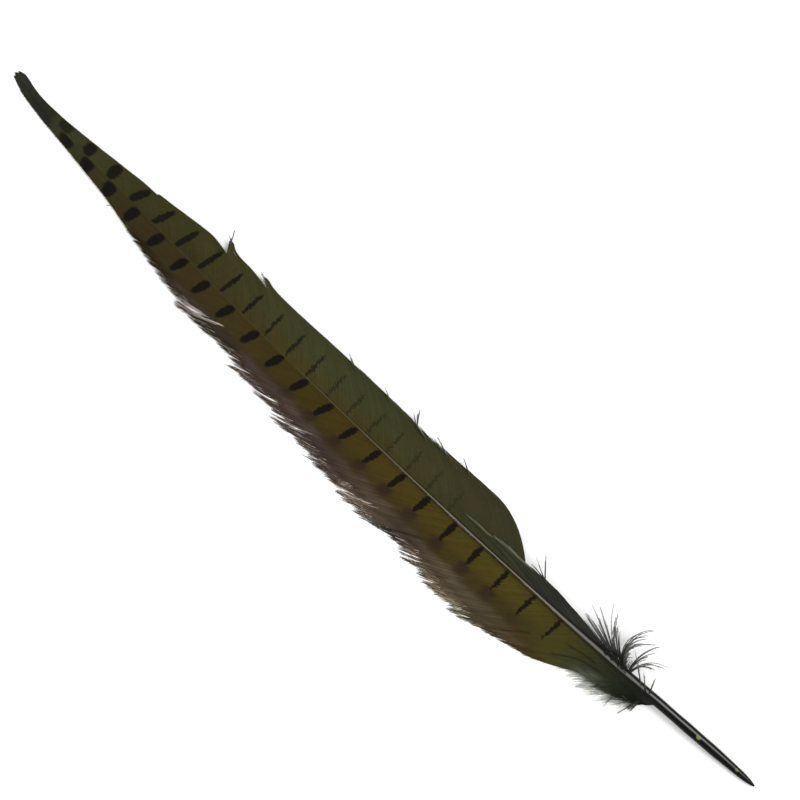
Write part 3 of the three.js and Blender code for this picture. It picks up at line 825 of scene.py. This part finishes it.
# A vane's markings, along the shaft. first is the s of the first bar, pitch the distance to the next and
# stretch how that changes. The bars' width, reach from the shaft, lean and strength follow, how far they
# wander along the shaft and how ragged they are. inner and outer are the vane's colours close to the shaft
# and further out.
narrowLook = {
    "first": 29.2, "pitch": 13.08, "stretch": 4.2e-5, "taper": 0,
    "width": [(29, 6.5), (42, 4.9), (54, 4.6), (68, 3.7), (81, 2.9), (93, 2.8), (105, 2.3), (118, 2.1),
              (140, 1.7), (241, 1.5)],
    "reach": [(29, 4), (42, 5.5), (54, 6.5), (68, 8), (81, 9.2), (93, 10.3), (105, 12), (118, 11.2),
              (160, 11.5), (241, 10.5)],
    "lean": [(55, 0), (68, -0.42), (81, -0.34), (93, -0.24), (105, -0.2), (124, -0.1), (140, 0)],
    "strength": [(0, 0), (21, 0), (24, 0.72), (34, 0.72), (36, 1), (128, 1), (141, 0.9), (163, 0.85),
                 (174, 0.6), (190, 0.55), (238, 0.45), (243, 0)],
    "wander": [(42, 0), (55, 0), (68, 1), (118, 1.4), (160, 0.7), (175, 0.3), (196, -0.8), (206, -1.2),
               (217, -1.9), (228, -1.6), (240, -0.8)],
    "ragged": [(0, 0.2), (120, 0.3), (160, 0.7), (240, 0.9)],
    "inner": [(0, (50, 51, 45)), (14, (44, 45, 39)), (22.3, (41, 42, 34)), (24.5, (54, 56, 38)),
              (45, (62, 61, 35)), (70, (59, 55, 30)), (100, (57, 52, 29)), (115, (61, 55, 29)),
              (160, (69, 62, 31)), (220, (62, 59, 32)), (250, (56, 55, 34)), (285, (52, 53, 34))],
    "outer": [(0, (50, 51, 45)), (14, (44, 45, 39)), (22.3, (41, 42, 34)), (24.5, (54, 56, 38)),
              (45, (60, 60, 35)), (80, (60, 58, 32)), (110, (62, 59, 32)), (160, (62, 63, 39)),
              (220, (62, 60, 37)), (250, (60, 57, 38)), (285, (54, 55, 35))],
    "outerFrom": 2, "outerTo": 9,
    "bar": (27, 24, 12),
    "blotches": [(66, 50, 26), (56, 64, 38)],
}
broadLook = {
    "first": 33.1, "pitch": 12.96, "stretch": -8.8e-6, "taper": 0.2,
    "width": [(33, 7), (46, 6), (58, 5.4), (71, 4.1), (84, 3.7), (98, 3.5), (140, 3.3), (180, 3),
              (202, 2.7), (230, 2.6), (244, 2.3), (258, 2.2), (272, 1.9), (300, 1.6)],
    "reach": [(33, 4.2), (46, 5.2), (58, 6.2), (71, 7.4), (110, 7.9), (150, 8), (230, 8.8), (244, 10),
              (272, 10.8), (287, 11.6)],
    "lean": [(50, 0), (62, 0.1), (78, 0.3), (110, 0.34), (180, 0.36), (206, 0.25), (230, 0.12), (249, 0)],
    "strength": [(0, 0), (26, 0), (27, 0.85), (40, 0.95), (46, 1), (305, 1), (307, 0)],
    "ragged": [(0, 0.2), (150, 0.25), (220, 0.35), (305, 0.5)],
    "wander": [(33, 0), (45, -0.8), (71, -0.9), (85, -0.2), (98, 0), (110, -1.1), (124, -1), (138, -0.4),
               (190, -0.4), (204, -1.1), (218, -1.2), (230, -1.6), (245, -0.4), (300, 0)],
    "inner": [(0, (50, 51, 45)), (14, (44, 45, 39)), (22.3, (41, 42, 34)), (25, (57, 58, 38)),
              (45, (58, 54, 32)), (80, (58, 50, 29)), (117, (63, 54, 29)), (171, (66, 56, 24)),
              (210, (73, 61, 25)), (250, (75, 65, 26)), (285, (76, 68, 27)), (308, (68, 64, 29)),
              (320, (54, 55, 35)), (330, (42, 45, 32)), (341, (29, 32, 22))],
    "outer": [(0, (50, 51, 45)), (14, (44, 45, 39)), (22.3, (43, 44, 37)), (25, (54, 54, 37)),
              (45, (52, 48, 33)), (80, (50, 43, 31)), (110, (58, 49, 35)), (171, (62, 52, 30)),
              (210, (66, 56, 30)), (255, (67, 57, 29)), (270, (63, 54, 28)), (285, (63, 54, 27)),
              (298, (68, 61, 30)), (308, (68, 65, 31)), (316, (64, 65, 44)), (323, (98, 103, 90)),
              (330, (70, 74, 62)), (338, (38, 41, 31))],
    "outerFrom": 6, "outerTo": 13,
    "bar": (25, 21, 10),
    "blotches": [(74, 50, 22), (66, 68, 24)],
    # dark lines where the web has parted along its barbs, painted shade in the partings, as s and the
    # distance from the shaft
    "creases": [[(218, 24), (228, 20.6), (239.4, 14.5)], [(282.2, 22.6), (288, 19), (294.7, 13.3)],
                [(308, 13), (311.4, 10.7), (317.2, 7.6), (325, 6.1)],
                [(310.2, 6.3), (315.3, 5.3), (321, 4.8)]],
    "mauveFrom": [(88, 32), (97, 11), (105, 7.5), (117, 7.5), (160, 9), (185, 10.6), (197, 11.3),
                  (210, 11.3), (224, 12), (237, 12.3), (250, 13.7), (272, 14.4), (298, 15.5), (309, 25)],
    "mauve": [(88, (60, 50, 42)), (104, (76, 66, 57)), (112, (78, 68, 59)), (120, (60, 54, 48)),
              (129, (64, 57, 52)), (136, (57, 49, 40)), (144, (84, 69, 63)), (160, (80, 66, 60)),
              (171, (86, 73, 64)), (186, (75, 64, 56)), (197, (74, 61, 53)), (212, (88, 73, 61)),
              (222, (84, 71, 58)), (230, (69, 60, 50)), (240, (77, 67, 54)), (250, (88, 76, 59)),
              (262, (90, 79, 62)), (275, (80, 72, 54)), (296, (78, 66, 44))],
    "darkBand": (54, 43, 32),
}


# What both vanes share: how strongly each marking covers what is under it, the shadow close to the shaft with
# the s between which it comes in, and the underside.
vaneShades = {
    "barShare": 0.96, "blotchShare": 0.45, "darkBandShare": 0.95, "creaseShare": 0.5,
    "shadow": (34, 29, 20), "shadowShare": 0.75, "shadowBetween": (150, 260),
    "underside": (62, 58, 50), "undersideShare": 0.55,
}


def vaneMaterial(name, look, *pieces):
    # Bars lie evenly along the shaft: each point's distance from the nearest bar is found by rounding
    # D / pitch + stretch * D^2, where D is its s from the first bar on, with the bar's lean and wander taken
    # off. A bar is an oval of that distance and of the way out.
    graph = Graph(name, 0.6, 0.1)
    s, out, row = graph.parts("plan")
    tone, t, free = graph.parts("strand")
    uneven = graph.minus(tone, 0.5)
    reach = graph.along(s, look["reach"])
    middle = graph.times(reach, 0.5)
    fromMiddle = graph.minus(out, middle)
    shifted = graph.sum(s, graph.times(graph.along(s, look["lean"]), fromMiddle), -look["first"],
                        graph.times(graph.along(s, look["wander"]), -1))
    count = graph.sum(graph.over(shifted, look["pitch"]), graph.times(shifted, shifted, look["stretch"]))
    nearest = graph.math("ROUND", count)
    wear = graph.noise(graph.times(s, 0.3), graph.times(out, 0.9), nearest)
    jag = graph.times(graph.along(s, look["ragged"]),
                      graph.sum(graph.times(wear, 1.1), graph.times(uneven, 1.5)))
    offset = graph.times(graph.minus(count, nearest), look["pitch"])
    distance = graph.math("ABSOLUTE", graph.sum(offset, jag))
    outward = graph.over(fromMiddle, middle)
    taper = graph.sum(1, graph.times(outward, -look["taper"]))
    across = graph.over(distance, graph.times(graph.along(s, look["width"]), 0.5, taper))
    oval = graph.sum(graph.math("POWER", across, 2.2),
                     graph.math("POWER", graph.math("ABSOLUTE", outward), 2.8))
    bar = graph.times(graph.rest(graph.step(oval, 0.55, 1.5)), graph.along(s, look["strength"]))
    cloud = graph.noise(graph.times(s, 0.11), graph.times(out, 0.16), 3.0)
    share = graph.step(graph.sum(out, graph.times(cloud, 1.5)), look["outerFrom"], look["outerTo"])
    colour = graph.mix(share, graph.ramp(s, look["inner"]), graph.ramp(s, look["outer"]))
    tint = graph.noise(graph.times(s, 0.17), graph.times(out, 0.22), 9.0)
    for sign, blotch in zip((1, -1), look["blotches"]):
        patch = graph.times(graph.step(graph.times(tint, sign), 0.1, 1.2), graph.between(s, 60, 300, 25))
        colour = graph.mix(graph.times(patch, vaneShades["blotchShare"]), colour, blotch)
    mauve = 0
    if "mauve" in look:
        start = graph.along(s, look["mauveFrom"])
        drift = graph.noise(graph.times(row, 0.35), graph.times(t, 1.5), 7.0)
        mauve = graph.step(graph.sum(out, graph.times(cloud, 0.8), graph.times(drift, 1.2)), start,
                           graph.sum(start, 3.4))
        colour = graph.mix(mauve, colour, graph.ramp(s, look["mauve"]))
        # a darker band just past the bars' reach, between s of about 135 and 292
        beyond = graph.times(graph.step(out, graph.sum(reach, -1.5), graph.sum(reach, 0.5)),
                             graph.rest(graph.step(out, graph.sum(reach, 2), graph.sum(reach, 7))),
                             graph.step(s, 135, 185), graph.rest(graph.step(s, 280, 292)),
                             graph.rest(graph.step(distance, 1.0, 4.0)))
        colour = graph.mix(graph.times(beyond, vaneShades["darkBandShare"]), colour, look["darkBand"])
    colour = graph.mix(graph.times(bar, vaneShades["barShare"]), colour, look["bar"])
    # painted shade along the partings in the web, in the bars' colour
    for crease in look.get("creases", []):
        away = graph.apart(out, graph.along(s, crease))
        line = graph.times(graph.rest(graph.step(away, 0.1, 0.75)),
                           graph.between(s, crease[0][0], crease[-1][0], 2.5))
        colour = graph.mix(graph.times(line, vaneShades["creaseShare"]), colour, look["bar"])
    radius = graph.along(s, shaft["radius"])
    shadowEnd = graph.sum(graph.times(radius, 0.95), 0.35)
    besideShaft = graph.rest(graph.step(out, graph.times(radius, 0.85), shadowEnd))
    shadow = graph.times(besideShaft, graph.step(s, *vaneShades["shadowBetween"]), vaneShades["shadowShare"])
    colour = graph.mix(shadow, colour, vaneShades["shadow"])
    streak = graph.noise(graph.times(row, 1.3), graph.times(t, 3), 1.0, 3.0)
    mottle = graph.noise(graph.times(s, 0.55), graph.times(out, 0.7), 5.0)
    loud = graph.sum(1, graph.times(free, 2), mauve)
    shade = graph.sum(1, graph.times(streak, 0.12, loud), graph.times(uneven, 0.22, loud),
                      graph.times(cloud, 0.05), graph.times(mottle, 0.06), graph.times(free, 0.22))
    colour = graph.scaled(colour, shade)
    underneath = graph.mix(vaneShades["undersideShare"], colour, vaneShades["underside"])
    onTop = graph.step(graph.number("upper"), 0.3, 0.55)
    graph.finish(graph.mix(onTop, underneath, colour), *pieces)


stripLook = {
    "colours": [(240, (58, 58, 38)), (266, (54, 56, 38)), (280, (47, 49, 39)), (294, (43, 43, 38)),
                (303, (52, 52, 46)), (330, (42, 41, 36))],
    # line is the colour of the painted highlight along the outer edge, which fades out between the two s
    "line": (122, 122, 102), "edgeHighlightShare": 0.6, "edgeHighlightFades": (274, 281),
}


def stripMaterial():
    # Dark towards the quill, with a painted highlight along its outer edge, where it lies over the narrow
    # vane and the barbs' edges catch the light.
    graph = Graph("strip", 0.5, 0.1)
    s, out, row = graph.parts("plan")
    tone, t, _ = graph.parts("strand")
    colour = graph.ramp(s, stripLook["colours"])
    edge = graph.along(s, [(at, y - float(bowAt(at))) for at, y in pressedStrip["edge"]])
    # a painted highlight just inside the strip's outer edge
    line = graph.times(graph.step(graph.minus(out, edge), -0.95, -0.4),
                       graph.rest(graph.step(s, *stripLook["edgeHighlightFades"])))
    colour = graph.mix(graph.times(line, stripLook["edgeHighlightShare"]), colour, stripLook["line"])
    shade = graph.sum(1, graph.times(graph.minus(tone, 0.5), 0.8),
                      graph.times(graph.noise(graph.times(row, 1.5), graph.times(t, 3)), 0.25))
    graph.finish(graph.scaled(colour, shade), stripPiece)


downLook = {
    "dark": [(110, (48, 49, 36)), (240, (58, 62, 42)), (280, (58, 60, 50)), (305, (46, 48, 42)),
             (330, (38, 40, 34)), (350, (34, 37, 30))],
    "paleInner": (130, 135, 118), "paleOuter": (204, 206, 200),
}


def downMaterial():
    # Dark down, and pale down that is dark only at its roots.
    graph = Graph("down", 0.6, 0.1)
    s, _, pale = graph.parts("plan")
    tone, t, _ = graph.parts("strand")
    dark = graph.ramp(s, downLook["dark"])
    light = graph.mix(graph.times(t, t), downLook["paleInner"], downLook["paleOuter"])
    colour = graph.mix(graph.times(pale, graph.step(t, 0, 0.35)), dark, light)
    shade = graph.sum(0.85, graph.times(tone, 0.5), graph.times(t, 0.25))
    graph.finish(graph.scaled(colour, shade), barbulePiece, *tuftPieces)


looseLook = {
    "roots": [(60, (60, 56, 40)), (110, (56, 57, 42)), (240, (64, 67, 48)), (280, (62, 64, 56)),
              (305, (52, 53, 47)), (330, (46, 47, 40)), (350, (40, 42, 36))],
    # ends is painted light: the grey that the thin free ends take where light passes through them
    "broadSide": (48, 41, 33), "ends": (150, 152, 145),
}


def looseMaterial():
    # Dark at the roots and greyer towards the free ends, where the grey is painted light standing for light
    # passing through the thin hairs, and browner on the broad side.
    graph = Graph("loose_barb", 0.6, 0.1)
    s, side, _ = graph.parts("plan")
    tone, t, _ = graph.parts("strand")
    dark = graph.ramp(s, looseLook["roots"])
    brown = graph.times(graph.step(side, 0.5, -0.5), graph.rest(graph.step(s, 290, 310)))
    dark = graph.mix(brown, dark, looseLook["broadSide"])
    # painted light towards the thin free ends
    colour = graph.mix(graph.times(t, t, 0.8), dark, looseLook["ends"])
    graph.finish(graph.scaled(colour, graph.sum(0.8, graph.times(tone, 0.4))), loosePiece)


silverLook = {
    # silver is partly the barbs' own pale colour and partly a painted highlight
    "grey": (84, 72, 60), "silver": (204, 192, 178), "cream": (200, 190, 152),
    "creamBetween": (238, 252),         # the s between which silver turns to cream
}


def silverMaterial():
    # Hairs that catch the light: grey to silver, and cream towards the quill. Their silver is partly the
    # barbs' own pale colour and partly a painted highlight.
    graph = Graph("silver_hair", 0.5, 0.2)
    s = graph.parts("plan")[0]
    tone = graph.parts("strand")[0]
    light = graph.mix(graph.step(s, *silverLook["creamBetween"]), silverLook["silver"], silverLook["cream"])
    graph.finish(graph.mix(tone, silverLook["grey"], light), silverPiece)


quillLook = {
    "sides": [(0, (44, 44, 36)), (60, (58, 53, 34)), (180, (50, 44, 32)), (260, (42, 39, 32)),
              (330, (30, 30, 27)), (360, (21, 22, 20)), (400, (20, 22, 19))],
    # top: the shaft's own pale top line with a painted highlight on it, strongest on the quill
    "top": [(0, (44, 45, 38)), (45, (56, 55, 38)), (80, (68, 61, 38)), (150, (74, 67, 42)),
            (190, (92, 85, 62)), (215, (114, 108, 90)), (238, (138, 132, 118)), (280, (130, 126, 117)),
            (300, (110, 108, 97)), (325, (98, 99, 91)), (345, (100, 101, 96)), (362, (108, 108, 105)),
            (385, (92, 92, 88)), (400, (36, 38, 34))],
    # the angle around the shaft of the line along the top, which is partly a painted highlight, and its half
    # width, in radians
    "middle": [(60, 1.57), (300, 1.62), (331, 1.47), (350, 1.25), (400, 1.2)],
    "halfWidth": [(60, 0.55), (200, 0.42), (300, 0.34), (331, 0.3), (350, 0.18), (400, 0.15)],
}
specks = {
    "places": [(370.6, 1.55, 1), (390.4, 1.35, 0.8)],       # s, angle around the quill and size of each
    "along": 1.1, "around": 0.42,                           # how far one of size 1 reaches
    "colour": (126, 131, 84),
}


def quillMaterial():
    # A line along the top goes from brown over silver to grey, between dark sides that turn black on the
    # quill. The line is partly the shaft's own pale top and partly a painted highlight, and on the quill it
    # is mostly painted highlight. Yellow-green specks stick to the quill in two places.
    graph = Graph("quill", 0.35, 0.1)
    s, angle, _ = graph.parts("plan")
    sides = graph.ramp(s, quillLook["sides"])
    top = graph.ramp(s, quillLook["top"])
    middle = graph.along(s, quillLook["middle"])
    halfWidth = graph.along(s, quillLook["halfWidth"])
    away = graph.over(graph.apart(angle, middle), halfWidth)
    grain = graph.noise(graph.times(s, 0.25), graph.times(angle, 9), 0.0, 3.0)
    away = graph.sum(away, graph.times(grain, 0.15))
    # the top line, partly the shaft's own pale colour and partly a painted highlight
    colour = graph.mix(graph.rest(graph.step(away, 0.7, 1.3)), sides, top)
    colour = graph.scaled(colour, graph.sum(1, graph.times(grain, 0.12)))
    fleck = graph.times(graph.noise(graph.times(s, 1.6), graph.times(angle, 4), 5.0), 0.8)
    for at, turn, size in specks["places"]:
        lengthwise = graph.over(graph.minus(s, at), specks["along"] * size)
        around = graph.over(graph.minus(angle, turn), specks["around"] * size)
        away = graph.sum(graph.times(lengthwise, lengthwise), graph.times(around, around), fleck)
        cover = graph.times(graph.rest(graph.step(away, 0.5, 1.3)), 0.75 * size)
        colour = graph.mix(cover, colour, specks["colour"])
    graph.finish(colour, quillPiece)


vaneMaterial("narrow_vane", narrowLook, narrowPiece, tipPiece)
vaneMaterial("broad_vane", broadLook, broadPiece, wispPiece)
stripMaterial()
downMaterial()
looseMaterial()
silverMaterial()
quillMaterial()
print("materials are on all pieces")

stage = {
    "floor": 40,
    "paper": 0.95,
    "sky": 0.9,
    "lamps": [
        # position, width and height, power
        ((1.5, 1.9, 3.2), (2.4, 1.6), 100),
    ],
}


def makeStage():
    # A pale floor far wider than the picture, even white light from all around and a soft lamp.
    half = stage["floor"] / 2
    mesh = bpy.data.meshes.new("floor")
    corners = [(-half, -half, 0), (half, -half, 0), (half, half, 0), (-half, half, 0)]
    mesh.from_pydata(corners, [], [(0, 1, 2, 3)])
    floor = bpy.data.objects.new("floor", mesh)
    bpy.context.scene.collection.objects.link(floor)
    graph = Graph("paper", 0.9, 0.0)
    graph.finish((stage["paper"],) * 3 + (1,), floor)
    world = bpy.data.worlds.new("studio")
    world.use_nodes = True
    background = world.node_tree.nodes["Background"]
    background.inputs["Color"].default_value = (1, 1, 1, 1)
    background.inputs["Strength"].default_value = stage["sky"]
    bpy.context.scene.world = world
    for position, size, power in stage["lamps"]:
        light = bpy.data.lights.new("softbox", "AREA")
        light.shape = "RECTANGLE"
        light.size, light.size_y = size
        light.energy = power
        lamp = bpy.data.objects.new("softbox", light)
        lamp.location = position
        lamp.rotation_euler = Vector(position).to_track_quat("Z", "Y").to_euler()
        bpy.context.scene.collection.objects.link(lamp)


camera = {
    "lens": 100, "sensor": 36,
    "centre": (196.5, 12.3),            # the plan's s and y in the middle of the picture
    "across": 311.4,                    # width of the picture at the height of the tip and the quill
    "height": 1,
    "turn": 44.014,                     # the chord falls to the right by this angle
}


def makeCamera():
    # It looks straight down, from the picture's width times the lens over the sensor's width.
    lensData = bpy.data.cameras.new("camera")
    lensData.lens = camera["lens"]
    lensData.sensor_width = camera["sensor"]
    lensData.clip_start = 0.01
    view = bpy.data.objects.new("camera", lensData)
    distance = camera["across"] * camera["lens"] / camera["sensor"]
    view.location = placed(*camera["centre"], camera["height"] + distance)
    view.rotation_euler = (0, 0, math.radians(camera["turn"]))
    bpy.context.scene.collection.objects.link(view)
    bpy.context.scene.camera = view


makeStage()
makeCamera()
bpy.context.scene.view_settings.view_transform = "Standard"
print("stage and camera are in place")
